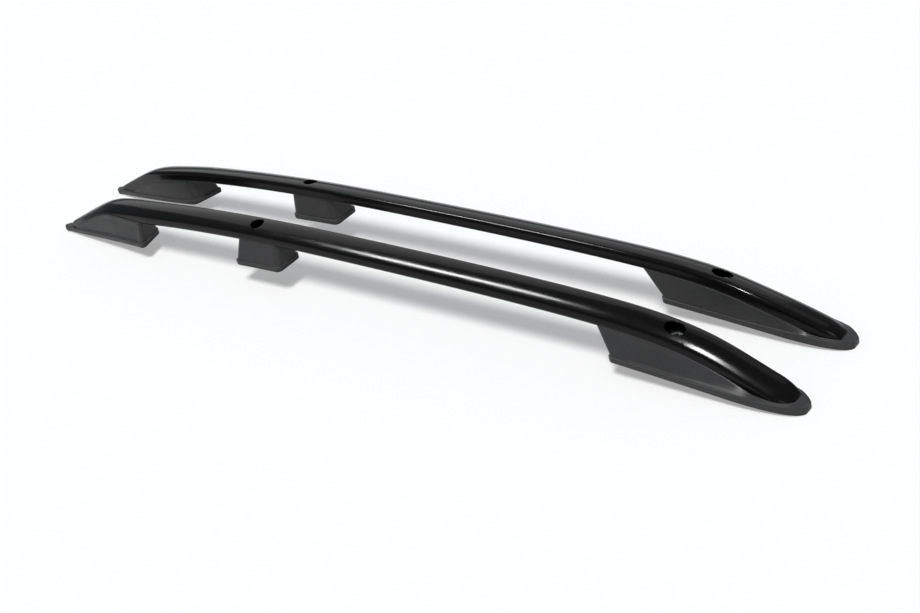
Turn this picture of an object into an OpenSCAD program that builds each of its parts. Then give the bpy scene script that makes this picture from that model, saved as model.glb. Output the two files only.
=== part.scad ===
// Pair of side rails for a car roof. Each rail is a bent hollow bar of canted D section,
// which stands on a long rear foot, a short middle foot and a long front foot with a nose.
// +X points to the front of the car, +Z up. The right rail lies at -Y and the left at +Y.
// All feet follow one roof arc, which touches the ground plane z = 0 at both ends.

/* [Layout] */
// Length of one rail from the tail tip to the nose
overall_len = 1552; // [1400:4:1800]
// Distance between the centre planes of the two rails
pair_spacing = 155; // [110:1:600]
// How far the left rail lies behind the right one
pair_stagger = 7; // [0:1:60]
// Rise of the roof arc over the length of one rail
roof_crown = 44.6; // [30:0.2:60]

/* [Bar section] */
// Width of the bar
bar_w = 42.6; // [38:0.2:46]
// Height of its inner side
inner_side_h = 20; // [17:0.2:23]
// Height of its outer side
outer_side_h = 18; // [15:0.2:21]
// How much lower the outer side lies than the inner one
bar_cant = 7.4; // [3:0.2:10]
// Corner radius of the bar
bar_corner_r = 7; // [5:0.2:7.4]
// Radius of its lower corner on the inner side
inner_low_r = 3.6; // [2.8:0.1:6]
// Radius of the domed top of the bar
dome_r = 62; // [40:1:120]
// Wall of the hollow bar
bar_wall = 2.2; // [1.6:0.1:3]

/* [Bar line] */
// Height of the bar's centre at its crown
crown_h = 98.2; // [90:0.2:110]
// Place of the crown ahead of the middle of the rail
crown_x = -107; // [-160:1:0]
// Radius of the bar's arc behind the crown
rear_arc_r = 4870; // [4000:10:7000]
// Radius of the bar's arc ahead of the crown
front_arc_r = 24400; // [12000:100:40000]
// Slope of the rear ramp, degrees
rear_ramp = 26.7; // [22:0.1:32]
// Slope of the front ramp, degrees
front_ramp = 24.4; // [20:0.1:30]
// How far ahead of the tail tip the rear ramp meets the ground
rear_toe = 17.5; // [10:0.5:30]
// How far past the nose the front ramp meets the ground
front_toe = 14; // [4:0.5:24]
// Softness of the bend into the rear ramp
rear_bend = 6.4; // [3:0.2:12]
// Softness of the bend into the front ramp
front_bend = 21; // [12:0.5:28]
// Offset of the bar to the inner side of its feet
bar_inset = 6.5; // [3:0.5:9]
// Extra inward bow of the bar over the rear ramp
rear_bow = 4; // [0:0.5:6]

/* [Feet] */
// Length of the rear foot
rear_foot_len = 266; // [220:1:300]
// Width of the rear foot at its front end
rear_foot_w = 59; // [52:0.5:66]
// Width of the front foot
front_foot_w = 62; // [54:0.5:70]
// Length of the front foot along its base
front_foot_len = 292; // [250:1:330]
// Lean of the front foot's rear edge, degrees
front_foot_lean = 24; // [5:1:35]
// Length of the middle foot
middle_foot_len = 105; // [90:1:130]
// Width of the middle foot
middle_foot_w = 55; // [50:0.5:62]
// Place of the middle foot's centre ahead of the middle of the rail
middle_foot_x = -210.5; // [-260:0.5:-120]
// Height of the feet's flange
flange_h = 6.5; // [4:0.5:9]
// Extra height of the front foot's flange at the nose
nose_rise = 4; // [0:0.5:6]
// Width of the ledge on top of the flange
ledge = 2; // [1.2:0.1:3]
// Thinnest part of the rim beside the bar
thin_rim = 0.9; // [0.6:0.1:1.6]
// Depth of the recessed panel in each foot's outer side
panel_depth = 1.4; // [0.6:0.1:2.4]
// Thickness of the rim that the feet hold beside the bar
rim_t = 1.6; // [1:0.1:2.4]
// How high the rear foot's rim reaches above the bar's centre
rear_rim_h = 1.5; // [-4:0.5:3]
// Thickness of the rubber gaskets
gasket_t = 2; // [1:0.1:4]
// How far the gaskets lie inside the flange
gasket_inset = 0.6; // [0.2:0.1:2]
// Plastic left between the bar's ends and the gaskets
pan_t = 2.4; // [1.5:0.1:4]

/* [Roof bolts] */
// Clearance bore for the roof bolts
bolt_bore = 9; // [8.4:0.1:11]
// Outer diameter of the spacer sleeves
sleeve_d = 13; // [12:0.1:15]
// Diameter of the collar on a sleeve
collar_d = 18; // [16:0.5:20]
// Thickness of that collar
collar_t = 2; // [1:0.1:3]
// Diameter of the foot's boss that carries the sleeve
boss_d = 22; // [20.5:0.5:24]
// Diameter of the middle access hole
middle_hole_d = 23; // [20:0.5:26]
// Diameter of the front access hole
front_hole_d = 28; // [22:0.5:30]
// Place of the middle bolt ahead of the middle foot's centre
middle_bolt_dx = -6.5; // [-12:0.5:12]
// Place of the front bolt ahead of the front foot's rear edge
front_bolt_dx = 97; // [60:1:130]

/* [Foot screws] */
// Shank diameter of the screws that hold the feet to the bar
screw_d = 4.2; // [3.5:0.1:5]
// Head diameter
screw_head_d = 8.4; // [7:0.1:9.5]
// Head height
screw_head_h = 3; // [2:0.1:4]
// Plastic between the screw head and the bar
screw_seat_t = 4; // [3:0.5:7]
// How far the screw reaches into the bar
screw_reach = 6; // [4:0.5:8]
// Place of the rear foot's first screw ahead of the tail tip
tail_screw_dx = 116; // [110:1:130]
// Place of its second screw behind the foot's front edge
rear_screw_back = 50; // [40:1:70]
// Spacing of the middle foot's screws
middle_screw_pitch = 76; // [64:1:84]
// Place of the front foot's first screw ahead of its rear edge
front_screw_dx = 30; // [24:1:50]
// Spacing of the front foot's screws
front_screw_pitch = 135; // [120:1:150]

/* [Fits] */
// Gap between the bar and the feet
bar_fit = 0.25; // [0.1:0.05:0.6]
// Gap round the sleeves and screws
bore_fit = 0.2; // [0.1:0.05:0.6]

/* [Hidden] */

satin_black = [0.13, 0.13, 0.135];
foot_grey = [0.24, 0.24, 0.25];
rubber_black = [0.05, 0.05, 0.05];
zinc_grey = [0.66, 0.67, 0.69];

half_len = overall_len / 2;
roof_r = (pow(half_len, 2) + pow(roof_crown, 2)) / (2 * roof_crown);

// Chamfer along the flange, plan radius of the feet's corners and length of any through cut
chamfer = 1.2;
corner_plan_r = 9;
deep = 200;

// How far below the bar's centre the feet's upper edges lie, outside and inside
outer_drop = 9.5;
inner_drop = 5;
// A negative rim ends just under the bar's lower corner
tucked_rim = -0.3;

// Places along the rail
middle_half_len = middle_foot_len / 2;
middle_bolt_x = middle_foot_x + middle_bolt_dx;
front_foot_x = half_len - front_foot_len;
front_bolt_x = front_foot_x + front_bolt_dx;
rear_end_x = rear_foot_len - half_len;
front_edge_h = 40;
front_lean_run = front_edge_h * tan(front_foot_lean);
rear_screws = [tail_screw_dx - half_len, rear_end_x - rear_screw_back];
middle_screws = [for (s = [-0.5, 0.5]) middle_foot_x + s * middle_screw_pitch];
front_screws = [for (s = [0, 1]) front_foot_x + front_screw_dx + s * front_screw_pitch];

// The roof arc, and curves that share its centre at a height above it
function roof_z(x, h = 0) = sqrt(pow(roof_r + h, 2) - x * x) - roof_r + roof_crown;

// Lower one of two heights, with a soft bend where they cross
function soft_min(a, b, soft) = (a + b - sqrt(pow(a - b, 2) + 4 * soft * soft)) / 2;
function ease(t) = t <= 0 ? 0 : t >= 1 ? 1 : t * t * (3 - 2 * t);

// Centre line of the bar: two arcs that meet at the crown, and a ramp at each end
function arc_z(x) = crown_h - pow(x - crown_x, 2) / (2 * (x < crown_x ? rear_arc_r : front_arc_r));
function rear_ramp_z(x) = (x + half_len - rear_toe) * tan(rear_ramp);
function front_ramp_z(x) = (half_len + front_toe - x) * tan(front_ramp);
function bar_z(x) = soft_min(soft_min(arc_z(x), rear_ramp_z(x), rear_bend), front_ramp_z(x), front_bend);
function bar_slope(x) = atan((bar_z(x + 1) - bar_z(x - 1)) / 2);

// The bar bows inward over the rear ramp and drifts to the middle of the front foot
bow_from = 50;
bow_len = 260;
drift_len = 130;
drift_end = 30;
function bow(x) = let (t = (x + half_len - bow_from) / bow_len) t <= 0 || t >= 1 ? 0 : (1 - cos(360 * t)) / 2;
function drift(x) = ease((x - half_len + drift_len + drift_end) / drift_len);
function bar_y(x) = bar_inset * (1 - drift(x)) + rear_bow * bow(x);

// Half widths of the feet in plan: an ogive tail and a blunt nose
tail_power = 0.53;
nose_power = 0.35;
nose_len = 110;
function rear_half(x) = rear_foot_w / 2 * pow(max(x + half_len, 0.02) / rear_foot_len, tail_power);
function rear_y(x) = bar_inset * (1 - pow((x + half_len) / rear_foot_len, 4));
function nose_t(x) = min(max((half_len - x) / nose_len, 0.0002), 1);
function front_half(x) = front_foot_w / 2 * pow(1 - pow(1 - nose_t(x), 2), nose_power);
function corner_cut(t, r) = t >= r ? 0 : r - sqrt(r * r - pow(r - t, 2));

// The bar narrows to stay inside the tail and the nose
tip_len = 90;
tip_trim = 1;
nose_rim = 3;
least_half = 1.2;
function bar_half(x) =
  let (tail = rear_half(x) - ledge - thin_rim - tip_trim * (1 - ease((x + half_len) / tip_len)))
  min(bar_w / 2, max(x < 0 ? tail : front_half(x) - ledge - nose_rim, least_half));

// Its front end rounds down into the nose
end_round = 20;
end_depth = 0.85;
function end_drop(x) =
  let (t = min(max((bar_front_x - x) / end_round, 0), 1))
  sqrt(1 - end_depth * pow(1 - t, 2));

// Section of the bar as [y, z] about its centre, +y to the inner side
side_y = bar_w / 2 - bar_corner_r;
outer_flat = outer_side_h - 2 * bar_corner_r;
inner_top = [side_y, (bar_cant + inner_side_h) / 2 - bar_corner_r];
inner_low = [bar_w / 2 - inner_low_r, (bar_cant - inner_side_h) / 2 + inner_low_r];
outer_top = [-side_y, (outer_flat - bar_cant) / 2];
outer_low = [-side_y, -(outer_flat + bar_cant) / 2];
low_line = inner_low - outer_low;
low_lean = atan2(low_line.y, low_line.x) + asin((bar_corner_r - inner_low_r) / norm(low_line));
top_chord = inner_top - outer_top;
top_lean = atan2(top_chord.y, top_chord.x);
dome_half = asin(norm(top_chord) / 2 / (dome_r - bar_corner_r));
dome_mid = (inner_top + outer_top) / 2;
dome_centre = dome_mid - (dome_r - bar_corner_r) * cos(dome_half) * [-sin(top_lean), cos(top_lean)];

function arc_points(centre, r, from, to, n) =
  [for (i = [0:n]) let (a = from + (to - from) * i / n) centre + r * [cos(a), sin(a)]];
function low_outer(grow) = arc_points(outer_low, bar_corner_r + grow, 180, 270 + low_lean, 3);
function low_inner(grow) = arc_points(inner_low, inner_low_r + grow, low_lean - 90, 0, 3);
function bar_section(grow) = concat(
  low_inner(grow),
  arc_points(inner_top, bar_corner_r + grow, 0, 90 + top_lean - dome_half, 2),
  [for (i = [1, 2]) let (a = 90 + top_lean + dome_half * (2 * i / 3 - 1))
    dome_centre + (dome_r + grow) * [cos(a), sin(a)]],
  arc_points(outer_top, bar_corner_r + grow, 90 + top_lean + dome_half, 180, 2),
  low_outer(grow)
);

// Height of the bar's underside at y from its centre
function under_z(x, y, grow = 0) =
  bar_z(x) + outer_low.y + (y + side_y) * tan(low_lean) - (bar_corner_r + grow) / cos(low_lean);

// Where a point of the section lies in the upright plane at x. The bar is square to its
// own slope, so the point comes from a place of the centre line a little before or behind.
// What would reach below the pan over the gasket is squeezed flat on it.
squeeze = 0.03;
function source_x(x, h) = let (near = x + h * sin(bar_slope(x))) x + h * sin(bar_slope(near));
function bar_at(x, p, grow = 0) =
  let (
    c = source_x(x, p.y),
    narrow = (bar_half(x) + grow) / (bar_w / 2 + grow),
    z = bar_z(c) + p.y * cos(bar_slope(c)) * end_drop(x),
    pan_z = roof_z(x, gasket_t + pan_t - grow)
  )
  [bar_y(x) + p.x * narrow, z > pan_z ? z : pan_z - (pan_z - z) * squeeze];

function bar_ring(x, grow) =
  let (s = bar_section(grow))
  [for (i = [len(s) - 1:-1:0]) let (q = bar_at(x, s[i], grow)) [x, q.x, q.y]];

// Closed skin over equal rings. An end is one flat face, or it steps back over the flange.
// A foot's triangles run across the other diagonal, because its seat is met from outside.
function flat_end(n) = [[for (i = [0:n - 1]) i]];
function stepped_end(n) = [[0, 1, 2, n - 3, n - 2, n - 1], [2, 3, n - 4, n - 3], [for (i = [3:n - 4]) i]];
function flip(face) = [for (i = [len(face) - 1:-1:0]) face[i]];
module skin(rings, first_step = false, last_step = false, cross = false) {
  n = len(rings[0]);
  last = (len(rings) - 1) * n;
  polyhedron(points = [for (r = rings) each r], faces = concat(
    [for (f = first_step ? stepped_end(n) : flat_end(n)) flip(f)],
    [for (i = [0:len(rings) - 2]) for (j = [0:n - 1]) let (k = (j + 1) % n)
      let (a = i * n + j, b = i * n + k, c = a + n, d = b + n)
      each cross ? [[a, b, c], [b, d, c]] : [[a, b, d], [a, d, c]]],
    [for (f = last_step ? stepped_end(n) : flat_end(n)) [for (i = f) i + last]]
  ));
}

// Stations along the bar: close together on the bends, wide apart between them
bar_rear_x = 14 - half_len;
bar_front_x = half_len - 16;
rear_d = [14, 20, 30, 44, 60, 78, 96, 114, 132, 152, 176, 205, 235];
front_e = [270, 245, 220, 190, 160, 130, 105, 84, 66, 50, 38, 29, 23, 19, 17, 16];
function spread(from, to, n) = [for (i = [1:n]) from + (to - from) * i / (n + 1)];
bar_rear_stations = [for (d = rear_d) d - half_len];
bar_front_stations = [for (e = front_e) half_len - e];
bar_stations = concat(
  bar_rear_stations,
  [rear_end_x],
  spread(rear_end_x, middle_foot_x - middle_half_len, 2),
  [middle_foot_x - middle_half_len, middle_foot_x, middle_foot_x + middle_half_len],
  spread(middle_foot_x + middle_half_len, front_foot_x - front_lean_run, 5),
  [front_foot_x - front_lean_run, front_foot_x],
  bar_front_stations
);

// The bar is solid at both ends
hollow_from = 90 - half_len;
hollow_to = half_len - 60;
hollow_stations = concat(
  [hollow_from],
  [for (x = bar_stations) if (x > hollow_from + 5 && x < hollow_to - 5) x],
  [hollow_to]
);

module upright(x, y, z, d, h, n = 48) {
  translate([x, y, z])
    cylinder(d = d, h = h, $fn = n);
}

// Top of the boss that carries a sleeve, clear of the bar's sloping lower wall
boss_lift = 0.8;
function boss_top(x) =
  under_z(x, boss_d / 2, -bar_wall) + abs(tan(bar_slope(x))) * boss_d / 2 + boss_lift;

module rail_bar() {
  color(satin_black)
    difference() {
      skin([for (x = bar_stations) bar_ring(x, 0)]);
      skin([for (x = hollow_stations) bar_ring(x, -bar_wall)]);
      upright(middle_bolt_x, bar_y(middle_bolt_x), bar_z(middle_bolt_x), middle_hole_d, deep);
      upright(front_bolt_x, bar_y(front_bolt_x), bar_z(front_bolt_x), front_hole_d, deep);
      for (x = [middle_bolt_x, front_bolt_x])
        upright(x, bar_y(x), 0, boss_d + 2 * bar_fit, boss_top(x));
      for (x = concat(rear_screws, middle_screws, front_screws))
        upright(x, bar_y(x), 0, screw_d + bore_fit, bar_z(x));
    }
}

// Section of a foot as a ring of points: base, flange, ledge, side panel and rim outside,
// over the seat that follows the bar's lower side, then down the plain inner side.
// half, y: half width and centre in plan; top_out, top_in: the upper edges below the bar's
// centre; rim: thickness outside the bar; fh: flange height; cut: plan rounding at an end;
// skew: slant in plan; shift, lean: set-back and slant of what stands on the flange;
// panel: depth of the recess. The body stands min_lip above the flange at least, and where it
// ends under the bar it stays slack below it.
min_lip = 1;
slack = 0.35;
function foot_base(x, y) = [x, y, roof_z(x, gasket_t)];
function foot_ring(x, half, y, top_out, top_in, rim, fh, cut, skew, shift, lean, panel) =
  let (
    zf = roof_z(x, gasket_t + fh),
    edge = min(ledge, 0.3 * half),
    ch = min(chamfer, 0.2 * half),
    low_x = function (q) x - skew * (q.x - y),
    up_x = function (q) low_x(q) + shift - lean * (q.y - zf),
    on_bar = function (p) let (
      a = bar_at(x, p, bar_fit),
      b = bar_at(up_x(a), p, bar_fit)
    ) bar_at(up_x(b), p, bar_fit),
    seat = [for (p = concat(low_outer(bar_fit), low_inner(bar_fit))) on_bar(p)],
    mid_x = up_x(seat[3]),
    far = bar_half(mid_x),
    gap = min(0.3, far / 14),
    wall_out = y - half + edge,
    wall_in = y + half - edge,
    on_seat = function (v) lookup(v, seat) - slack,
    zo_free = max(bar_z(mid_x) + top_out, zf + min_lip),
    zi_free = max(bar_z(mid_x) + top_in, zf + min_lip),
    rim_free = bar_y(mid_x) - far - rim,
    in_free = bar_y(mid_x) + far,
    rim_y = max(wall_out, cut > 0 ? rim_free + cut : min(rim_free, seat[0].x - 2 * gap)),
    side_in = min(wall_in, cut > 0 ? in_free - cut : max(in_free, seat[7].x + 2 * gap)),
    zo = rim_y > seat[0].x ? min(zo_free, on_seat(rim_y)) : zo_free,
    zi = side_in < seat[7].x ? min(zi_free, on_seat(side_in)) : zi_free,
    beyond = x < bar_rear_x - bar_fit - 0.01 || x > bar_front_x + bar_fit + 0.01,
    keep = function (v, k) min(max(v, rim_y + gap * (k + 2)), side_in - gap * (9 - k)),
    tall = zo - zf,
    sunk = min(panel, max(0, tall - 9) * 0.15) * (1 - cut / corner_plan_r),
    low = tall * 0.2,
    high = tall * 0.8,
    wall = function (h) wall_out + (rim_y - wall_out) * h / tall,
    upper = concat(
      [
        [wall_out, zf],
        [wall(low), zf + low],
        [wall(low + sunk) + sunk, zf + low + sunk],
        [wall(high - sunk) + sunk, zf + high - sunk],
        [wall(high), zf + high],
        [rim_y, zo],
        [max(seat[0].x - gap, rim_y + gap), zo]
      ],
      [for (k = [0:7]) let (v = keep(seat[k].x, k), top = k < 4 ? zo : zi)
        [v, beyond ? top : min(v == seat[k].x ? seat[k].y : on_seat(v), top - gap)]],
      [
        [min(seat[7].x + gap, side_in - gap), zi],
        [side_in, zi],
        [wall_in, zf]
      ]
    )
  )
  concat(
    [foot_base(low_x([y - half]), y - half)],
    [for (q = [[y - half, zf - ch], [y - half + ch, zf]]) [low_x(q), q.x, q.y]],
    [for (q = upper) [up_x(q), q.x, q.y]],
    [for (q = [[y + half - ch, zf], [y + half, zf - ch]]) [low_x(q), q.x, q.y]],
    [foot_base(low_x([y + half]), y + half)]
  );

module screw_bores(xs) {
  for (x = xs) {
    upright(x, bar_y(x), 0, screw_head_d + 2 * bore_fit, seat_z(x));
    upright(x, bar_y(x), 0, screw_d + 2 * bore_fit, bar_z(x), 32);
  }
}
function seat_z(x) = under_z(x, 0) - screw_seat_t;

// Rear foot
round_steps = [1, 0.5, 0.2, 0];
rear_stations = concat(
  [for (d = [0.5, 3, 8, 13.4, 13.6]) d - half_len],
  [for (x = bar_rear_stations) if (x < rear_end_x - 1.4 * corner_plan_r) x],
  [for (t = round_steps) rear_end_x - t * corner_plan_r]
);

// Its front edge slants in plan, and its rim falls under the bar on the way there
rear_skew = 0.3;
skew_run = 80;
rim_fall = 110;
set_back_run = 30;
function rear_rim(x) =
  rear_rim_h - (rear_rim_h + outer_drop) * ease((x - rear_end_x + rim_fall) / rim_fall);
function rear_foot_ring(x) =
  let (
    t = rear_end_x - x,
    cut = corner_cut(t, corner_plan_r),
    skew = rear_skew * (1 - ease(t / skew_run)),
    shift = -ledge * max(0, 1 - t / set_back_run),
    half = rear_half(x) - cut
  )
  foot_ring(x, half, rear_y(x), rear_rim(x), -inner_drop, rim_t, flange_h, cut, skew, shift, 0, panel_depth);

module rear_foot() {
  color(foot_grey)
    difference() {
      skin([for (x = rear_stations) rear_foot_ring(x)], false, true, true);
      screw_bores(rear_screws);
    }
}

// Middle foot
middle_stations = concat(
  [for (i = [3:-1:0]) middle_foot_x - middle_half_len + round_steps[i] * corner_plan_r],
  [middle_foot_x],
  [for (t = round_steps) middle_foot_x + middle_half_len - t * corner_plan_r]
);

// It has plain sides, and its rear end leans more than its front end
middle_rear_lean = -0.2;
middle_front_lean = 0.05;
middle_lean_run = 40;
function middle_foot_ring(x) =
  let (
    side = x < middle_foot_x ? 1 : -1,
    t = middle_half_len - abs(x - middle_foot_x),
    cut = corner_cut(t, corner_plan_r),
    lean = (side > 0 ? middle_rear_lean : middle_front_lean) * (1 - ease(t / middle_lean_run)),
    shift = side * ledge * max(0, 1 - t / set_back_run),
    half = middle_foot_w / 2 - cut
  )
  foot_ring(x, half, 0, -outer_drop, -inner_drop, tucked_rim, flange_h, cut, 0, shift, lean, 0);

module boss(x) {
  foot_z = roof_z(x, gasket_t + 1);
  upright(x, bar_y(x), foot_z, boss_d, boss_top(x) - foot_z);
}

module bolt_bore_cut(x) {
  upright(x, bar_y(x), 0, sleeve_d + 2 * bore_fit, deep);
}

module middle_foot() {
  color(foot_grey)
    difference() {
      union() {
        skin([for (x = middle_stations) middle_foot_ring(x)], true, true, true);
        boss(middle_bolt_x);
      }
      screw_bores(middle_screws);
      bolt_bore_cut(middle_bolt_x);
    }
}

// Front foot
front_stations = concat(
  [for (i = [3:-1:0]) front_foot_x + round_steps[i] * corner_plan_r],
  bar_front_stations,
  [for (e = [15.6, 15.4, 11, 6, 2.5, 0.6]) half_len - e]
);

// Its rear edge leans, and its flange rises to the nose and falls again at the tip
front_lean_fade = 70;
nose_rise_from = 200;
nose_rise_len = 150;
nose_fall = 5;
nose_fall_len = 22;
function front_flange_h(x) =
  flange_h + nose_rise * ease((x - half_len + nose_rise_from) / nose_rise_len)
  - nose_fall * ease((x - half_len + nose_fall_len) / nose_fall_len);
function front_foot_ring(x) =
  let (
    t = x - front_foot_x,
    cut = corner_cut(t, corner_plan_r),
    shift = ledge * max(0, 1 - t / set_back_run),
    lean = tan(front_foot_lean) * (1 - ease(t / front_lean_fade)),
    half = front_half(x) - cut,
    fh = front_flange_h(x)
  )
  foot_ring(x, half, 0, -outer_drop, -inner_drop, tucked_rim, fh, cut, 0, shift, lean, panel_depth);

module front_foot() {
  color(foot_grey)
    difference() {
      union() {
        skin([for (x = front_stations) front_foot_ring(x)], true, false, true);
        boss(front_bolt_x);
      }
      screw_bores(front_screws);
      bolt_bore_cut(front_bolt_x);
    }
}

// Rubber gaskets: the feet's outlines between the roof and the foot
gasket_fit = 0.03;
function gasket_ring(r, shift) =
  let (out = r[0], in = r[len(r) - 1])
  [for (q = [[out, 0, 1], [out, gasket_t - gasket_fit, 1], [in, gasket_t - gasket_fit, -1], [in, 0, -1]])
    [q[0].x + shift, q[0].y + q[2] * min(gasket_inset, (in.y - out.y) / 4), q[0].z - gasket_t + q[1]]];

module gasket(rings, bores) {
  last = len(rings) - 1;
  end_shift = gasket_inset / 2;
  color(rubber_black)
    difference() {
      skin([for (i = [0:last]) gasket_ring(rings[i], i == 0 ? end_shift : i == last ? -end_shift : 0)]);
      for (x = bores)
        bolt_bore_cut(x);
    }
}

module rear_gasket() {
  gasket([for (x = rear_stations) rear_foot_ring(x)], []);
}

module middle_gasket() {
  gasket([for (x = middle_stations) middle_foot_ring(x)], [middle_bolt_x]);
}

module front_gasket() {
  gasket([for (x = front_stations) front_foot_ring(x)], [front_bolt_x]);
}

// Spacer sleeve with a collar on the foot's boss
module sleeve(x) {
  foot_z = roof_z(x, gasket_t / 4);
  color(zinc_grey)
    difference() {
      union() {
        upright(x, bar_y(x), foot_z, sleeve_d, boss_top(x) - foot_z + collar_t);
        upright(x, bar_y(x), boss_top(x), collar_d, collar_t);
      }
      upright(x, bar_y(x), 0, bolt_bore, deep);
    }
}

module middle_sleeve() {
  sleeve(middle_bolt_x);
}

module front_sleeve() {
  sleeve(front_bolt_x);
}

// Pan-head screws that come up from below into the bar
module foot_screw(x) {
  translate([x, bar_y(x), seat_z(x)]) {
    cylinder(d = screw_d, h = screw_seat_t + screw_reach, $fn = 24);
    translate([0, 0, -screw_head_h])
      cylinder(d = screw_head_d, h = screw_head_h, $fn = 32);
  }
}

module foot_screws(xs) {
  color(zinc_grey)
    for (x = xs)
      foot_screw(x);
}

// The right rail stands at -Y with its inner side to +Y, the left one is its mirror image
module on_right() {
  translate([pair_stagger / 2, -pair_spacing / 2, 0])
    children();
}

module on_left() {
  translate([-pair_stagger / 2, pair_spacing / 2, 0])
    mirror([0, 1, 0])
      children();
}

on_right() rail_bar();  // right_rail_bar
on_right() rear_foot();  // right_rear_foot
on_right() middle_foot();  // right_middle_foot
on_right() front_foot();  // right_front_foot
on_right() rear_gasket();  // right_rear_gasket
on_right() middle_gasket();  // right_middle_gasket
on_right() front_gasket();  // right_front_gasket
on_right() middle_sleeve();  // right_middle_sleeve
on_right() front_sleeve();  // right_front_sleeve
on_right() foot_screws(rear_screws);  // right_rear_foot_screws
on_right() foot_screws(middle_screws);  // right_middle_foot_screws
on_right() foot_screws(front_screws);  // right_front_foot_screws
on_left() rail_bar();  // left_rail_bar
on_left() rear_foot();  // left_rear_foot
on_left() middle_foot();  // left_middle_foot
on_left() front_foot();  // left_front_foot
on_left() rear_gasket();  // left_rear_gasket
on_left() middle_gasket();  // left_middle_gasket
on_left() front_gasket();  // left_front_gasket
on_left() middle_sleeve();  // left_middle_sleeve
on_left() front_sleeve();  // left_front_sleeve
on_left() foot_screws(rear_screws);  // left_rear_foot_screws
on_left() foot_screws(middle_screws);  // left_middle_foot_screws
on_left() foot_screws(front_screws);  // left_front_foot_screws
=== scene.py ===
"""Roof side rail pair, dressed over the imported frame. Lengths below are in millimetres."""

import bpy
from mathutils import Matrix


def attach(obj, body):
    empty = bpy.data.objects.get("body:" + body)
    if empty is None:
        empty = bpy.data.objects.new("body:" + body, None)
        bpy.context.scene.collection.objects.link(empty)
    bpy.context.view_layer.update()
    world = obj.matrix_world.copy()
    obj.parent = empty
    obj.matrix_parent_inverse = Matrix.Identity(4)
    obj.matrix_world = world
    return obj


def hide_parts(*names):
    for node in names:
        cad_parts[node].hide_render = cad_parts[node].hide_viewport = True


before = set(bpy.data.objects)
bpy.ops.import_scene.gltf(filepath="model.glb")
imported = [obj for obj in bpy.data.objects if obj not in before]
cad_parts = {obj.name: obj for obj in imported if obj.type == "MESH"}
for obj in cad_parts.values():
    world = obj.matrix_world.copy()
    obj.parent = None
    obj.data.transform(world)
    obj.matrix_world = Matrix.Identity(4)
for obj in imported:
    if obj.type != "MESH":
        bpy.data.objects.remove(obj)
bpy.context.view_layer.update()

import math
import bpy
import bmesh
from mathutils import Matrix, Vector

# One rail is drawn with x forwards and y inwards, and placed once for each side.
# Only the camera, the floor and the lamps are in metres.
MM = 0.001
# each side's place on the ground in x and y, and the sign of its y axis
SIDES = {"right": (3.5, -77.5, 1), "left": (-3.5, 77.5, -1)}

# ---------------------------------------------------------------- sizes of one rail
HALF_LEN = 776.0
# rise of the roof's arc over the length of the rail, and its radius
ROOF_CROWN = 44.6
ROOF_R = (HALF_LEN ** 2 + ROOF_CROWN ** 2) / (2 * ROOF_CROWN)

# the bar's centre line: two arcs that meet at the crown, and a ramp at each end
CROWN_X, CROWN_H = -107, 98.2
REAR_ARC_R, FRONT_ARC_R = 4870, 24400
REAR_RAMP_IN, REAR_RAMP_DEG, REAR_BEND = 17.5, 26.7, 6.4
FRONT_RAMP_OUT, FRONT_RAMP_DEG, FRONT_BEND = 14, 24.4, 21
# its place in plan: a shift inwards that fades towards the nose, and a bow near the rear
SHIFT, SHIFT_FROM, SHIFT_RUN = 6.5, 160, 130
BOW, BOW_FROM, BOW_LEN = 4, 50, 260

# the bar's section
BAR_W = 42.6
INNER_H, OUTER_H, CANT = 20.0, 20.8, 7.4
CORNER_R, LOW_R, DOME_R, WALL = 7.0, 3.6, 50.0, 2.2
# its ends: where they are, how far they are rounded, and how much height or width goes there
BAR_REAR, BAR_FRONT = 16.5 - HALF_LEN, HALF_LEN - 16
END_ROUND, END_DEPTH = 20.0, 0.85
TIP_ROUND, TIP_DEPTH, TIP_TUCK_RUN = 9, 0.8, 90
LEAST_HALF = 1.2
# how much of its depth below the foot's floor a point of the bar keeps
SINK = 0.03

# the feet: lengths, places and widths
REAR_LEN, FRONT_LEN = 266, 292
REAR_END = REAR_LEN - HALF_LEN
FRONT_START = HALF_LEN - FRONT_LEN
MIDDLE_X, MIDDLE_HALF = -210.5, 52.5
REAR_W, FRONT_W, MIDDLE_W = 59.0, 62.0, 55.0
# outlines of the rear foot's flank and tip, and of the nose
FLANK_POWER, FLANK_SHIFT_POWER = 0.53, 4
TAIL_START, TAIL_R, TAIL_SOFT, TAIL_LEAST = 6.0, 8.6, 0.5, 0.8
NOSE_LEN, NOSE_POWER, NOSE_LEAST = 110, 0.35, 0.0002
# flange, ledge between flange and wall, rims beside the bar, and corners in plan
FLANGE_H, LEDGE, THIN_RIM, NOSE_RIM = 6.5, 2.0, 0.9, 3.0
PLAN_R, BASE_R, FLANGE_R = 9.0, 0.4, 1.3
# how far from a square end its wall has come back out, and play in the feet's width
SET_BACK, PLAY = 30.0, 0.02
# top edges of the walls, against the bar's centre line
OUTER_TOP_Z, INNER_TOP_Z = -9.5, -5
TUCKED_RIM, REAR_RIM = -0.3, 1.6
# depth of the side panels, and from where and over what run they sink, from the square end
PANEL_DEPTH = 1.7
REAR_PANEL_FROM, REAR_PANEL_RUN = 4, 9
FRONT_PANEL_FROM, FRONT_PANEL_RUN = 10, 30
# rear foot: skew of its end, and the fall of its outer top edge
SKEW, SKEW_RUN = 0.3, 80
REAR_TOP_Z, REAR_FALL, REAR_FALL_RUN = 1.5, 11.0, 110
# slants of the other feet's ends
MIDDLE_REAR_LEAN, MIDDLE_FRONT_LEAN, MIDDLE_LEAN_RUN = -0.2, 0.05, 40
FRONT_LEAN, FRONT_LEAN_RUN = 33.5, 70
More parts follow.
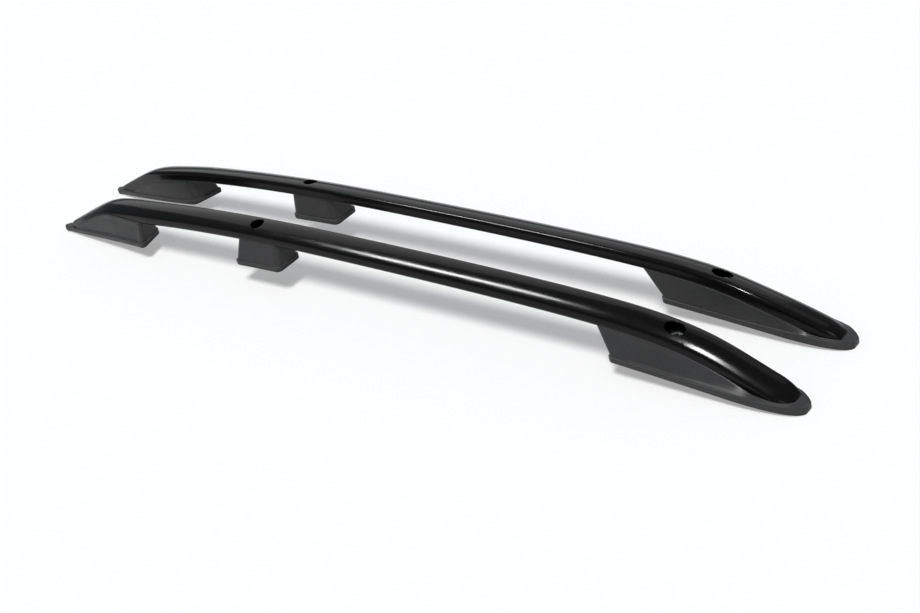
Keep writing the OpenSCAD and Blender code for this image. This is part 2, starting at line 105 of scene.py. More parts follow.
# the front flange rises towards the nose, and falls at its very end
NOSE_RISE, NOSE_RISE_FROM, NOSE_RISE_RUN = 4.0, 200, 150
NOSE_FALL, NOSE_FALL_RUN = 5, 22
GASKET_T, PAN_T = 2.0, 2.4

# bolt places, each with the half axes of its oval access hole
BOLTS = {"middle": (MIDDLE_X - 6.5, (12.6, 11.0)), "front": (FRONT_START + 97, (16.0, 10.8))}
HOLE_RIM = 0.7
BOSS_D, BOSS_GAP, SLEEVE_D, SLEEVE_GAP = 22.0, 0.8, 13.0, 0.2

# offsets from the bar's true surface: of its own skin, and of the seat cut into the feet
SKIN, SEAT = -0.12, -1.1


def ease(t):
    t = min(max(t, 0.0), 1.0)
    return t * t * (3 - 2 * t)


def soft_min(a, b, soft):
    return (a + b - math.sqrt((a - b) ** 2 + 4 * soft * soft)) / 2


def share(value, whole):
    """How much of a run is covered, from 0 to 1."""
    return min(max(value / whole, 0.0), 1.0)


def roof_z(x, h=0.0):
    return math.sqrt((ROOF_R + h) ** 2 - x * x) - ROOF_R + ROOF_CROWN


def bar_z(x):
    radius = REAR_ARC_R if x < CROWN_X else FRONT_ARC_R
    along = CROWN_H - (x - CROWN_X) ** 2 / (2 * radius)
    rear = (x + HALF_LEN - REAR_RAMP_IN) * math.tan(math.radians(REAR_RAMP_DEG))
    front = (HALF_LEN + FRONT_RAMP_OUT - x) * math.tan(math.radians(FRONT_RAMP_DEG))
    return soft_min(soft_min(along, rear, REAR_BEND), front, FRONT_BEND)


def bar_slope(x):
    return math.atan((bar_z(x + 1) - bar_z(x - 1)) / 2)


def bar_y(x):
    t = (x + HALF_LEN - BOW_FROM) / BOW_LEN
    bow = (1 - math.cos(2 * math.pi * t)) / 2 if 0 < t < 1 else 0.0
    return SHIFT * (1 - ease((x - HALF_LEN + SHIFT_FROM) / SHIFT_RUN)) + BOW * bow


def rear_half(x):
    """Half width of the rear foot: a power curve with a round tip, which starts TAIL_START in."""
    along = max(x + HALF_LEN, 0.0)
    flank = REAR_W / 2 * (along / REAR_LEN) ** FLANK_POWER
    t = share(along - TAIL_START, TAIL_R)
    tip = TAIL_R * math.sqrt(1 - (1 - t) ** 2)
    return -soft_min(-flank, -tip, TAIL_SOFT) if t > 0 else TAIL_LEAST


def rear_y(x):
    return SHIFT * (1 - (max(x + HALF_LEN, 0) / REAR_LEN) ** FLANK_SHIFT_POWER)


def front_half(x):
    t = min(max((HALF_LEN - x) / NOSE_LEN, NOSE_LEAST), 1.0)
    return FRONT_W / 2 * (1 - (1 - t) ** 2) ** NOSE_POWER


def bar_half(x):
    tail = rear_half(x) - LEDGE - THIN_RIM - (1 - ease((x + HALF_LEN) / TIP_TUCK_RUN))
    tail *= math.sqrt(1 - TIP_DEPTH * (1 - share(x - BAR_REAR, TIP_ROUND)) ** 2)
    end = tail if x < 0 else front_half(x) - LEDGE - NOSE_RIM
    return min(BAR_W / 2, max(end, LEAST_HALF))


def end_drop(x):
    """Share of the section's height that is left near the bar's ends."""
    t = share(min(BAR_FRONT - x, x - BAR_REAR), END_ROUND)
    return math.sqrt(1 - END_DEPTH * (1 - t) ** 2)


def corner_cut(t, r):
    """How far a corner of radius r is cut back, at t from its end."""
    return 0.0 if t >= r else r - math.sqrt(max(r * r - (r - t) ** 2, 0.0))


# ---------------------------------------------------------------- the bar's section
# Centres of the corner arcs, the lean of the lower side, and the dome over the top corners.
# In a section, x is across the bar and y is up.
SIDE_Y = BAR_W / 2 - CORNER_R
INNER_TOP = Vector((SIDE_Y, (CANT + INNER_H) / 2 - CORNER_R))
INNER_LOW = Vector((BAR_W / 2 - LOW_R, (CANT - INNER_H) / 2 + LOW_R))
OUTER_TOP = Vector((-SIDE_Y, (OUTER_H - 2 * CORNER_R - CANT) / 2))
OUTER_LOW = Vector((-SIDE_Y, -(OUTER_H - 2 * CORNER_R + CANT) / 2))
LOW_LINE = INNER_LOW - OUTER_LOW
LOW_LEAN = math.degrees(math.atan2(LOW_LINE.y, LOW_LINE.x)
                        + math.asin((CORNER_R - LOW_R) / LOW_LINE.length))
CHORD = INNER_TOP - OUTER_TOP
TOP_LEAN = math.degrees(math.atan2(CHORD.y, CHORD.x))
DOME_HALF = math.degrees(math.asin(CHORD.length / 2 / (DOME_R - CORNER_R)))
DOME_UP = Vector((-math.sin(math.radians(TOP_LEAN)), math.cos(math.radians(TOP_LEAN))))
DOME_C = ((INNER_TOP + OUTER_TOP) / 2
          - (DOME_R - CORNER_R) * math.cos(math.radians(DOME_HALF)) * DOME_UP)

# segments of its arcs and of its lower side, and the points that bound the top skin
CORNER_SEGS, INNER_TOP_SEGS, DOME_SEGS, UNDER_SEGS = 8, 10, 14, 6
TOP_FIRST = CORNER_SEGS + 2
TOP_LAST = TOP_FIRST + INNER_TOP_SEGS + DOME_SEGS + CORNER_SEGS
# the points between which the access holes are let in
HOLE_FIRST, HOLE_LAST = TOP_FIRST + 8, TOP_FIRST + INNER_TOP_SEGS + DOME_SEGS + 2


def arc(centre, r, start, end, n):
    out = []
    for i in range(n + 1):
        a = math.radians(start + (end - start) * i / n)
        out.append(Vector((centre.x + r * math.cos(a), centre.y + r * math.sin(a))))
    return out


def low_side(grow):
    return (arc(OUTER_LOW, CORNER_R + grow, 180, 270 + LOW_LEAN, CORNER_SEGS),
            arc(INNER_LOW, LOW_R + grow, LOW_LEAN - 90, 0, CORNER_SEGS))


def section(grow):
    outer, inner = low_side(grow)
    middle = (inner[-1] + (INNER_TOP + Vector((CORNER_R + grow, 0)))) / 2
    dome_in, dome_out = 90 + TOP_LEAN - DOME_HALF, 90 + TOP_LEAN + DOME_HALF
    top_in = arc(INNER_TOP, CORNER_R + grow, 0, dome_in, INNER_TOP_SEGS)
    dome = arc(DOME_C, DOME_R + grow, dome_in, dome_out, DOME_SEGS)[1:-1]
    top_out = arc(OUTER_TOP, CORNER_R + grow, dome_out, 180, CORNER_SEGS)
    under = [outer[-1].lerp(inner[0], k / UNDER_SEGS) for k in range(1, UNDER_SEGS)]
    return inner + [middle] + top_in + dome + top_out + outer + under


def bar_at(x, p, grow=0.0):
    """Where point p of the section is, in y and z, at x."""
    c = x + p.y * math.sin(bar_slope(x))
    c = x + p.y * math.sin(bar_slope(c))
    z = bar_z(c) + p.y * math.cos(bar_slope(c)) * end_drop(x)
    pan = roof_z(x, GASKET_T + PAN_T - grow)
    z = max(z, pan - (pan - z) * SINK)
    return bar_y(x) + p.x * (bar_half(x) + grow) / (BAR_W / 2 + grow), z


def spaced(*spans):
    """Stations over spans of (start, end, rough step)."""
    out = []
    for a, b, step in spans:
        n = max(1, round(abs(b - a) / step))
        out += [a + (b - a) * i / n for i in range(n)]
    return out + [spans[-1][1]]


# ---------------------------------------------------------------- mesh helpers
MERGE = 2e-6  # metres


def finish_mesh(node, bm, side, material, replaced=None, sharp=38.0):
    """Places a rail's piece on its side, and lets it stand for the CAD node."""
    dx, dy, sign = SIDES[side]
    for v in bm.verts:
        v.co = Vector(((v.co.x + dx) * MM, (sign * v.co.y + dy) * MM, v.co.z * MM))
    bmesh.ops.remove_doubles(bm, verts=bm.verts, dist=MERGE)
    bmesh.ops.recalc_face_normals(bm, faces=bm.faces)
    limit = math.radians(sharp)
    for f in bm.faces:
        f.smooth = True
    for e in bm.edges:
        e.smooth = len(e.link_faces) == 2 and e.calc_face_angle(0.0) < limit
    name = f"{side}_{node}_skin"
    mesh = bpy.data.meshes.new(name)
    bm.to_mesh(mesh)
    bm.free()
    mesh.materials.append(material)
    obj = bpy.data.objects.new(name, mesh)
    bpy.context.scene.collection.objects.link(obj)
    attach(obj, "root")
    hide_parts(f"{side}_{replaced or node}")


def bridge(bm, a, b):
    """Quads between two closed loops."""
    n = len(a)
    for i in range(n):
        k = (i + 1) % n
        bm.faces.new((a[i], a[k], b[k], b[i]))


def loft(bm, rings, holes=(), caps=("flat", "flat"), steps=(0, 0)):
    """Quads between equal closed rings.

    holes are left open, each from its first to its last ring and point. A stepped cap is split
    at the points named in steps, where a foot's wall is set back from its flange.
    """
    grid = [[bm.verts.new(p) for p in ring] for ring in rings]
    n = len(grid[0])
    for i in range(len(grid) - 1):
        for j in range(n):
            if any(a <= i < b and c <= j < d for a, b, c, d in holes):
                continue
            k = (j + 1) % n
            bm.faces.new((grid[i][j], grid[i][k], grid[i + 1][k], grid[i + 1][j]))
    low, high = steps
    for ring, kind in ((grid[0], caps[0]), (grid[-1], caps[1])):
        if kind == "flat":
            bm.faces.new(ring)
        else:
            bm.faces.new(ring[:low] + ring[high:])
            bm.faces.new((ring[low - 1], ring[low], ring[high - 1], ring[high]))
            bm.faces.new(ring[low:high])
    return grid


CURVE_SEGS = 4
# a rounding takes at most this share of the lines it joins
ROUND_SHARE = 0.46


def bezier(a, p, b):
    ts = (i / CURVE_SEGS for i in range(CURVE_SEGS + 1))
    return [a * (1 - t) ** 2 + p * 2 * t * (1 - t) + b * t * t for t in ts]


def rounded(points, radii):
    """Points of a chain's rounded inner corners; the chain's ends are dropped."""
    out = []
    for i in range(1, len(points) - 1):
        p = Vector(points[i])
        back, ahead = Vector(points[i - 1]) - p, Vector(points[i + 1]) - p
        r = min(radii[i - 1], ROUND_SHARE * back.length, ROUND_SHARE * ahead.length)
        out += bezier(p + back.normalized() * r, p, p + ahead.normalized() * r)
    return out


# ---------------------------------------------------------------- materials
class Finish:
    """A Principled material whose colour, roughness and relief come from noise."""

    VARIATION = 0.14

    def __init__(self, name, metallic=0.0, specular=0.5):
        self.material = bpy.data.materials.new(name)
        self.material.use_nodes = True
        self.tree = self.material.node_tree
        self.shader = self.tree.nodes["Principled BSDF"]
        self.shader.inputs["Metallic"].default_value = metallic
        self.shader.inputs["Specular IOR Level"].default_value = specular
        self.place = self.add("TexCoord", {}).outputs["Object"]

    def add(self, kind, inputs):
        node = self.tree.nodes.new("ShaderNode" + kind)
        for key, value in inputs.items():
            node.inputs[key].default_value = value
        return node

    def noise(self, scale, detail=3.0, rough=0.55, stretch=None):
        node = self.add("TexNoise", {"Scale": scale, "Detail": detail, "Roughness": rough})
        place = self.place
        if stretch:
            mapping = self.add("Mapping", {"Scale": stretch})
            self.tree.links.new(place, mapping.inputs["Vector"])
            place = mapping.outputs["Vector"]
        self.tree.links.new(place, node.inputs["Vector"])
        return node.outputs["Fac"]

    def cells(self, scale):
        node = self.add("TexVoronoi", {"Scale": scale})
        self.tree.links.new(self.place, node.inputs["Vector"])
        return node.outputs["Distance"]

    def ramp(self, value, low, high):
        """Spreads the middle range of a noise, which holds nearly all of it, over low to high."""
        node = self.add("MapRange", {"From Min": 0.3, "From Max": 0.7,
                                     "To Min": low, "To Max": high})
        self.tree.links.new(value, node.inputs["Value"])
        return node.outputs["Result"]

    def colour(self, value, colour):
        node = self.tree.nodes.new("ShaderNodeMix")
        node.data_type = "RGBA"
        factor, dark, light = node.inputs[0], node.inputs[6], node.inputs[7]
        dark.default_value = (*(c * (1 - self.VARIATION) for c in colour), 1)
        light.default_value = (*(c * (1 + self.VARIATION) for c in colour), 1)
        self.tree.links.new(self.ramp(value, 0, 1), factor)
        self.tree.links.new(node.outputs[2], self.shader.inputs["Base Color"])

    def roughness(self, value, low, high):
        self.tree.links.new(self.ramp(value, low, high), self.shader.inputs["Roughness"])

    def relief(self, *layers):
        """Bumps on one another, each of (height, strength, distance in metres)."""
        previous = None
        for value, strength, distance in layers:
            node = self.add("Bump", {"Strength": strength, "Distance": distance})
            self.tree.links.new(value, node.inputs["Height"])
            if previous:
                self.tree.links.new(previous, node.inputs["Normal"])
            previous = node.outputs["Normal"]
        self.tree.links.new(previous, self.shader.inputs["Normal"])


def bar_paint():
    paint = Finish("satin_black_paint", specular=0.11)
    paint.colour(paint.noise(9.0), (0.0032, 0.0032, 0.0033))
    paint.roughness(paint.noise(26.0, 4.0), 0.13, 0.18)
    paint.relief((paint.noise(420.0, 2.0), 0.025, 0.00035),
                 (paint.noise(1900.0, 2.0), 0.02, 0.0001))
    return paint.material


def foot_plastic():
    plastic = Finish("grained_dark_plastic", specular=0.2)
    plastic.colour(plastic.noise(14.0, 5.0), (0.031, 0.0313, 0.0318))
    plastic.roughness(plastic.noise(60.0, 4.0), 0.35, 0.47)
    plastic.relief((plastic.cells(950.0), 0.22, 0.00025),
                   (plastic.noise(2400.0, 2.0), 0.12, 0.00012))
    return plastic.material


def gasket_rubber():
    rubber = Finish("gasket_rubber", specular=0.2)
    rubber.colour(rubber.noise(30.0), (0.006, 0.006, 0.006))
    rubber.roughness(rubber.noise(90.0), 0.64, 0.8)
    rubber.relief((rubber.noise(1500.0, 4.0), 0.3, 0.0002))
    return rubber.material


def zinc_plate():
    zinc = Finish("zinc_plate", metallic=1.0)
    zinc.colour(zinc.noise(160.0, 4.0), (0.3, 0.305, 0.31))
    zinc.roughness(zinc.noise(260.0, 3.0, 0.6, (1, 1, 0.1)), 0.34, 0.54)
    zinc.relief((zinc.noise(1300.0, 3.0, 0.6, (1, 1, 0.08)), 0.15, 0.0001))
    return zinc.material


PAINT, PLASTIC, RUBBER, ZINC = bar_paint(), foot_plastic(), gasket_rubber(), zinc_plate()


# ---------------------------------------------------------------- bars
# free length of bar round a hole that its patch takes, and how its loops crowd to the edge
PATCH_REACH, PATCH_POWER = 6, 0.8
OUTER_LOOPS, INNER_LOOPS = 5, 3
# the hollow ends this far from the rail's rear and front
HOLLOW_REAR, HOLLOW_FRONT = 90, 60


def top_point(x, y, grow):
    """Height of the bar's top skin at (x, y), walked along its section."""
    placed = [bar_at(x, p, grow) for p in section(grow)[TOP_FIRST:TOP_LAST + 1]]
    for (ya, za), (yb, zb) in zip(placed, placed[1:]):
        if yb <= y <= ya:
            t = (ya - y) / (ya - yb) if ya != yb else 0.0
            return za + (zb - za) * t
    return placed[0][1] if y > placed[0][0] else placed[-1][1]


def hole_edge(hole, p, grow):
    """The point towards p on the edge of an upright oval hole, which is widened by grow."""
    hx, hy, (a, b) = hole
    angle = math.atan2(p.y - hy, p.x - hx)
    c, s = math.cos(angle), math.sin(angle)
    r = 1 / math.hypot(c / (a + grow), s / (b + grow))
    return Vector((hx + r * c, hy + r * s))


def hole_patch(bm, skin, k, hole, loops, rim):
    """Closes the gap in a skin round its hole k, and returns the loop at the hole's edge."""
    grid, spans, grow = skin
    i0, i1, j0, j1 = spans[k]
    gap = [grid[i0][j] for j in range(j0, j1)]
    gap += [grid[i][j1] for i in range(i0, i1)]
    gap += [grid[i1][j] for j in range(j1, j0, -1)]
    gap += [grid[i][j0] for i in range(i1, i0, -1)]
    previous = gap
    for loop in range(1, loops + 1):
        t = (loop / loops) ** PATCH_POWER
        current = []
        for v in gap:
            p = v.co.xy.lerp(hole_edge(hole, v.co, rim), t)
            current.append(bm.verts.new((p.x, p.y, top_point(p.x, p.y, grow))))
        bridge(bm, previous, current)
        previous = current
    return previous


def make_bar(side):
    middle, front = BOLTS["middle"][0], BOLTS["front"][0]
    xs = spaced((BAR_REAR, -740, 1.6), (-740, -560, 4), (-560, -300, 14), (-300, middle - 20, 8),
                (middle - 20, middle + 20, 2.6), (middle + 20, -150, 8), (-150, 440, 22),
                (440, front - 23, 7), (front - 23, front + 23, 2.6), (front + 23, 730, 6),
                (730, BAR_FRONT, 1.4))
    inner_xs = [x for x in xs if HALF_LEN - HOLLOW_FRONT >= x >= HOLLOW_REAR - HALF_LEN]
    bm = bmesh.new()
    skins = []
    for stations, grow in ((xs, SKIN), (inner_xs, -WALL)):
        pts = section(grow)
        rings = [[Vector((x, *bar_at(x, p, grow))) for p in pts] for x in stations]
        spans = []
        for hx, half in BOLTS.values():
            reach = half[0] + PATCH_REACH
            i0 = max(i for i, x in enumerate(stations) if x <= hx - reach)
            i1 = min(i for i, x in enumerate(stations) if x >= hx + reach)
            spans.append((i0, i1, HOLE_FIRST, HOLE_LAST))
        skins.append((loft(bm, rings, spans), spans, grow))
    for k, (hx, half) in enumerate(BOLTS.values()):
        hole = (hx, bar_y(hx), half)
        edge = previous = hole_patch(bm, skins[0], k, hole, OUTER_LOOPS, HOLE_RIM)
        for turn in (30, 60, 90):
            s, c = math.sin(math.radians(turn)), math.cos(math.radians(turn))
            current = []
            for v in edge:
                p = hole_edge(hole, v.co, HOLE_RIM * (1 - s))
                current.append(bm.verts.new((p.x, p.y, v.co.z - HOLE_RIM * (1 - c))))
            bridge(bm, previous, current)
            previous = current
        bridge(bm, previous, hole_patch(bm, skins[1], k, hole, INNER_LOOPS, 0.0))
    finish_mesh("bar", bm, side, PAINT, "rail_bar")


# ---------------------------------------------------------------- feet
# a ledge takes at most this share of a narrow foot, and a wall is at least this high
LEDGE_SHARE, LEAST_WALL = 0.3, 1.0
# roundings from the ledge up the outer wall, round its panel and over its top
WALL_RADII = (0.7, 0.5, 1.6, 3.0, 2.0, 1.1)
INNER_RADII = (1.0, 0.7)
# the panel's lower and upper slopes start and end this far from the wall's foot and top, or at
# this share of a low wall, and in such a wall the panel is shallower
LOW_SLOPE, HIGH_SLOPE = ((1.0, 0.1), (3.2, 0.25)), ((8.0, 0.4), (3.4, 0.15))
PANEL_FREE, PANEL_SHARE = 5, 0.14
# the seat stays below the walls' tops, inside their rims, with its points apart
SEAT_BELOW, SEAT_INSET, SEAT_APART = 0.25, 1.0, 0.02
# beyond the bar's ends the seat is filled: where that starts, and over what run
FILL_FRONT, FILL_REAR, FILL_RUN = 38, 10, 24


def foot_ring(x, t, end, half, y=0, top=OUTER_TOP_Z, rim=TUCKED_RIM, flange=FLANGE_H,
              skew=0.0, lean=0.0, panel=0.0):
    """Closed section of a foot at x, and the two points where its wall meets its flange.

    t is the distance from the nearest square end, and end is 1 where that is the rear one.
    """
    cut = corner_cut(t, PLAN_R)
    half = half - cut - PLAY
    shift = end * LEDGE * max(0.0, 1 - t / SET_BACK)
    zf = roof_z(x, GASKET_T + flange)
    ledge = min(LEDGE, LEDGE_SHARE * half)

    def low_x(q):
        return x - skew * (q.x - y)

    def up_x(q):
        return low_x(q) + shift - lean * (q.y - zf)

    def on_bar(p):
        q = Vector(bar_at(x, p, SEAT))
        q = Vector(bar_at(up_x(q), p, SEAT))
        return Vector(bar_at(up_x(q), p, SEAT))

    outer, inner = low_side(SEAT)
    seat = [on_bar(p) for p in outer + inner]
    mid = up_x(seat[len(outer) - 1])
    far = bar_half(mid)
    wall_out, wall_in = y - half + ledge, y + half - ledge
    rim_out = max(wall_out, bar_y(mid) - far - rim + cut)
    rim_in = min(wall_in, bar_y(mid) + far - cut)
    top_out = max(bar_z(mid) + top, zf + LEAST_WALL)
    top_in = max(bar_z(mid) + INNER_TOP_Z, zf + LEAST_WALL)

    tall = top_out - zf
    sunk = min(panel, max(0.0, tall - PANEL_FREE) * PANEL_SHARE)
    low, low_end = (min(reach, part * tall) for reach, part in LOW_SLOPE)
    high, high_end = (tall - min(reach, part * tall) for reach, part in HIGH_SLOPE)

    def wall(h, depth=0.0):
        return wall_out + (rim_out - wall_out) * h / tall + depth, zf + h

    base = roof_z(x, GASKET_T)
    flange_top = zf - corner_cut(t, FLANGE_R)
    low_out = rounded([(y - half, base - 1), (y - half, base), (y - half, flange_top),
                       (wall_out, flange_top)], (BASE_R, FLANGE_R))
    low_in = rounded([(wall_in, flange_top), (y + half, flange_top), (y + half, base),
                      (y + half, base - 1)], (FLANGE_R, BASE_R))
    up_out = rounded([(y - half, zf), (wall_out, zf), wall(low), wall(low_end, sunk),
                      wall(high, sunk), wall(high_end), (rim_out, top_out),
                      (rim_out + 3, top_out)], WALL_RADII)
    up_in = rounded([(rim_in - 3, top_in), (rim_in, top_in), (wall_in, zf), (y + half, zf)],
                    INNER_RADII)

    if x > 0:
        filled = ease((x - BAR_FRONT + FILL_FRONT) / FILL_RUN)
    else:
        filled = 1 - ease((x - BAR_REAR - FILL_REAR) / FILL_RUN)
    path = []
    for k, q in enumerate(seat):
        cap = (top_out if k < len(outer) else top_in) - SEAT_BELOW
        v = min(max(q.x, rim_out + SEAT_INSET + SEAT_APART * k),
                rim_in - SEAT_INSET - SEAT_APART * (len(seat) - k))
        h = min(q.y, cap)
        path.append(Vector((v, h + (cap - h) * filled)))
    upper = up_out + path + up_in
    ring = [Vector((low_x(q), q.x, q.y)) for q in low_out]
    ring += [Vector((up_x(q), q.x, q.y)) for q in upper]
    ring += [Vector((low_x(q), q.x, q.y)) for q in low_in]
    return ring, len(low_out), len(low_out) + len(upper)


def rear_ring(x):
    t = REAR_END - x
    top = REAR_TOP_Z - REAR_FALL * ease((x - REAR_END + REAR_FALL_RUN) / REAR_FALL_RUN)
    return foot_ring(x, t, -1, rear_half(x), rear_y(x), top, REAR_RIM,
                     skew=SKEW * (1 - ease(t / SKEW_RUN)),
                     panel=PANEL_DEPTH * ease((t - REAR_PANEL_FROM) / REAR_PANEL_RUN))


def middle_ring(x):
    end = 1 if x < MIDDLE_X else -1
    t = MIDDLE_HALF - abs(x - MIDDLE_X)
    lean = MIDDLE_REAR_LEAN if end > 0 else MIDDLE_FRONT_LEAN
    return foot_ring(x, t, end, MIDDLE_W / 2, lean=lean * (1 - ease(t / MIDDLE_LEAN_RUN)))


def front_ring(x):
    t = x - FRONT_START
    lean = math.tan(math.radians(FRONT_LEAN)) * (1 - ease(t / FRONT_LEAN_RUN))
    rise = (NOSE_RISE * ease((x - HALF_LEN + NOSE_RISE_FROM) / NOSE_RISE_RUN)
            - NOSE_FALL * ease((x - HALF_LEN + NOSE_FALL_RUN) / NOSE_FALL_RUN))
    return foot_ring(x, t, 1, front_half(x), flange=FLANGE_H + rise, lean=lean,
                     panel=PANEL_DEPTH * ease((t - FRONT_PANEL_FROM) / FRONT_PANEL_RUN))


# stations from a square end, for its rounded corners, and from the rear tip and the nose
ROUND = [0, 0.15, 0.45, 0.9, 1.3, 2.2, 3.4, 5, 7, 9]
TAIL_ROUND = (6.05, 6.3, 6.7, 7.3, 8.2, 9.4, 10.8, 12.2)
NOSE_ROUND = (7, 5, 3.4, 2.2, 1.3, 0.6)


def ahead_of(x):
    return [x + t for t in ROUND]


def back_from(x):
    return [x - t for t in reversed(ROUND)]


REAR_XS = [t - HALF_LEN for t in TAIL_ROUND]
REAR_XS += spaced((14 - HALF_LEN, -700, 3), (-700, REAR_END - 12, 4.5)) + back_from(REAR_END)
MIDDLE_XS = ahead_of(MIDDLE_X - MIDDLE_HALF) + spaced((MIDDLE_X - 40, MIDDLE_X + 40, 5))
MIDDLE_XS += back_from(MIDDLE_X + MIDDLE_HALF)
FRONT_XS = ahead_of(FRONT_START) + spaced((FRONT_START + 12, 700, 4.5), (700, HALF_LEN - 9, 2.5))
FRONT_XS += [HALF_LEN - t for t in NOSE_ROUND]
FEET = {
    "rear": (rear_ring, REAR_XS, ("flat", "stepped")),
    "middle": (middle_ring, MIDDLE_XS, ("stepped", "stepped")),
    "front": (front_ring, FRONT_XS, ("stepped", "flat")),
}
BOSS_SEGS = 48


def under_z(x, y, grow):
    """Height of the bar's lower side, grown by grow."""
    lean = math.radians(LOW_LEAN)
    side = OUTER_LOW.y + (y + SIDE_Y) * math.tan(lean)
    return bar_z(x) + side - (CORNER_R + grow) / math.cos(lean)


def make_boss(bm, x):
    """Bolt column, from inside the foot up into the hollow bar."""
    y, low = bar_y(x), roof_z(x, GASKET_T + 1)
    slope = abs(math.tan(bar_slope(x)))
    top = under_z(x, BOSS_D / 2, -WALL) + slope * BOSS_D / 2 + BOSS_GAP
    bore, outer = SLEEVE_D / 2 + SLEEVE_GAP, BOSS_D / 2
    profile = [(bore, low), (bore, top - 0.4), (bore + 0.4, top), (outer - 0.8, top),
               (outer - 0.2, top - 0.25), (outer, top - 0.8), (outer, low)]
    grid = []
    for i in range(BOSS_SEGS):
        a = 2 * math.pi * i / BOSS_SEGS
        grid.append([bm.verts.new((x + r * math.cos(a), y + r * math.sin(a), z))
                     for r, z in profile])
    for i in range(BOSS_SEGS):
        bridge(bm, grid[i], grid[(i + 1) % BOSS_SEGS])


def make_foot(side, name):
    ring_at, xs, caps = FEET[name]
    bm = bmesh.new()
    rings = [ring_at(x) for x in xs]
    loft(bm, [ring for ring, _, _ in rings], (), caps, rings[0][1:])
    if name in BOLTS:
        make_boss(bm, BOLTS[name][0])
    finish_mesh(f"{name}_foot", bm, side, PLASTIC)


# how far a gasket is set in from its foot's sides and ends, and how far it reaches into it
GASKET_INSET, GASKET_END, GASKET_INTO = 0.55, 0.4, 0.15


def make_gasket(side, name):
    ring_at, xs, _ = FEET[name]
    t = GASKET_T + GASKET_INTO
    lip = ((0.35, 0.0), (0.0, 0.4), (-0.1, t * 0.55), (0.3, t))
    rings = []
    for x in xs:
        ring = ring_at(x)[0]
        out, inn = ring[CURVE_SEGS], ring[-1 - CURVE_SEGS]
        inset = min(GASKET_INSET, (inn.y - out.y) / 4)
        move = GASKET_END if x == xs[0] else -GASKET_END if x == xs[-1] else 0.0
        za, zb = roof_z(out.x), roof_z(inn.x)
        points = [(out.x + move, out.y + inset + dy, za + dz) for dy, dz in lip]
        points += [(inn.x + move, inn.y - inset - dy, zb + dz) for dy, dz in reversed(lip)]
        rings.append(points)
    bm = bmesh.new()
    loft(bm, rings)
    finish_mesh(f"{name}_gasket", bm, side, RUBBER, sharp=50)


for side in SIDES:
    make_bar(side)
    for name in FEET:
        make_foot(side, name)
        make_gasket(side, name)

for name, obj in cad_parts.items():
    if name.endswith(("sleeve", "screws")):
        obj.data.materials.clear()
        obj.data.materials.append(ZINC)

# ---------------------------------------------------------------- camera
CAMERA_PLACE = Vector((1.6465, -1.5305, 1.270))
CAMERA_AIM = Vector((-0.6039, 0.6080, -0.5154))
# sine and cosine of the camera's roll
ROLL = (0.241, 0.9705)

scene = bpy.context.scene
cam_data = bpy.data.cameras.new("camera")
cam = bpy.data.objects.new("camera", cam_data)
scene.collection.objects.link(cam)
scene.camera = cam
cam_data.lens, cam_data.sensor_width = 62.0, 36.0
cam_data.clip_end = 60
forward = CAMERA_AIM.normalized()
level = forward.cross(Vector((0, 0, 1))).normalized()
up = ROLL[0] * level + ROLL[1] * level.cross(forward)
up = (up - up.dot(forward) * forward).normalized()
right = forward.cross(up).normalized()
turn = Matrix((right, up, -forward)).transposed().to_4x4()
turn.translation = CAMERA_PLACE
cam.matrix_world = turn

# ---------------------------------------------------------------- floor, world and lamps
FLOOR_HALF, FLOOR_Z = 9, -0.0004
FLOOR_GREY, FLOOR_GLOW = 0.86, 0.34
WORLD_COLOUR, WORLD_STRENGTH = (0.9, 0.95, 1, 1), 0.27
WHITE = (1, 1, 1, 1)


def camera_mix(tree, amount, lit, shown):
    """Other rays get the lit shader. Camera rays get it with this amount of the shown one."""
    path = tree.nodes.new("ShaderNodeLightPath")
    scale = tree.nodes.new("ShaderNodeMath")
    scale.operation = "MULTIPLY"
    scale.inputs[1].default_value = amount
    mix = tree.nodes.new("ShaderNodeMixShader")
    tree.links.new(path.outputs["Is Camera Ray"], scale.inputs[0])
    tree.links.new(scale.outputs[0], mix.inputs[0])
    tree.links.new(lit.outputs[0], mix.inputs[1])
    tree.links.new(shown.outputs[0], mix.inputs[2])
    return mix.outputs[0]


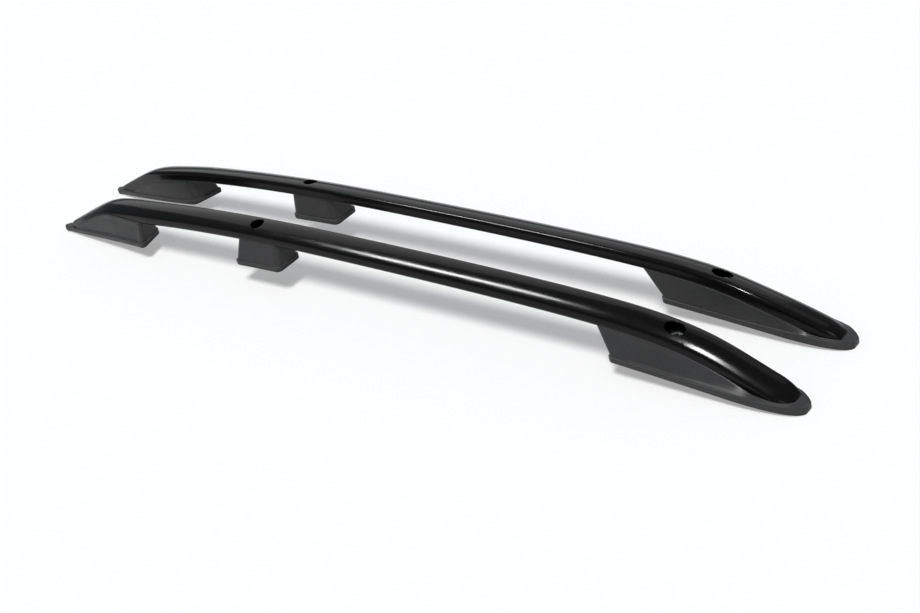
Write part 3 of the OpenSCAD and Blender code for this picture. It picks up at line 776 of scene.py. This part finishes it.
floor_mesh = bpy.data.meshes.new("floor")
corners = [(-1, -1), (1, -1), (1, 1), (-1, 1)]
floor_mesh.from_pydata([(FLOOR_HALF * x, FLOOR_HALF * y, 0) for x, y in corners], [],
                       [(0, 1, 2, 3)])
floor = bpy.data.objects.new("floor", floor_mesh)
floor.location.z = FLOOR_Z
scene.collection.objects.link(floor)
floor_mat = bpy.data.materials.new("studio_floor")
floor_mat.use_nodes = True
tree = floor_mat.node_tree
tree.nodes.clear()
out = tree.nodes.new("ShaderNodeOutputMaterial")
diffuse = tree.nodes.new("ShaderNodeBsdfDiffuse")
diffuse.inputs["Color"].default_value = (FLOOR_GREY, FLOOR_GREY, FLOOR_GREY, 1)
glow = tree.nodes.new("ShaderNodeEmission")
glow.inputs["Color"].default_value = WHITE
tree.links.new(camera_mix(tree, FLOOR_GLOW, diffuse, glow), out.inputs[0])
floor_mesh.materials.append(floor_mat)

world = bpy.data.worlds.new("studio")
scene.world = world
world.use_nodes = True
tree = world.node_tree
dim = tree.nodes["Background"]
dim.inputs["Color"].default_value = WORLD_COLOUR
dim.inputs["Strength"].default_value = WORLD_STRENGTH
white = tree.nodes.new("ShaderNodeBackground")
white.inputs["Color"].default_value = WHITE
white.inputs["Strength"].default_value = 1.0
tree.links.new(camera_mix(tree, 1.0, dim, white), tree.nodes["World Output"].inputs[0])


def softbox(name, direction, distance, size, power, aim):
    """Area lamp for gloss alone, at a distance from the point that it aims at."""
    data = bpy.data.lights.new(name, "AREA")
    data.shape = "RECTANGLE"
    data.size, data.size_y = size
    data.energy = power
    place = Vector(aim) + Vector(direction).normalized() * distance
    lamp = bpy.data.objects.new(name, data)
    lamp.location = place
    lamp.rotation_euler = (Vector(aim) - Vector(place)).to_track_quat("-Z", "Y").to_euler()
    lamp.visible_diffuse = False
    scene.collection.objects.link(lamp)


softbox("strip_mid", (-0.72, -0.07, 1.0), 2.4, (0.24, 0.74), 58, (0.25, -0.08, 0.1))
softbox("strip_front", (-0.04, -0.26, 1.0), 2.1, (0.16, 0.4), 54, (0.65, -0.08, 0.06))
softbox("backdrop", (-0.62, 0.75, 0.6), 3.2, (4.6, 2.2), 40, (0.3, 0, 0.05))
softbox("backdrop_high", (-0.1, 0.62, 0.75), 3.2, (1.8, 1.3), 6, (0.65, 0, 0.05))
softbox("nose_gloss", (0.6, -0.6, 0.55), 3.0, (1.2, 1.2), 26, (0.7, 0, 0.02))
# the key lights only what is matt, and casts the soft shadows
sun = bpy.data.lights.new("key", "SUN")
sun.energy, sun.angle = 3.1, math.radians(17)
key = bpy.data.objects.new("key", sun)
key.rotation_euler = Vector((-0.2, 0.42, -1.0)).to_track_quat("-Z", "Y").to_euler()
key.visible_glossy = False
scene.collection.objects.link(key)

scene.view_settings.view_transform = "Standard"
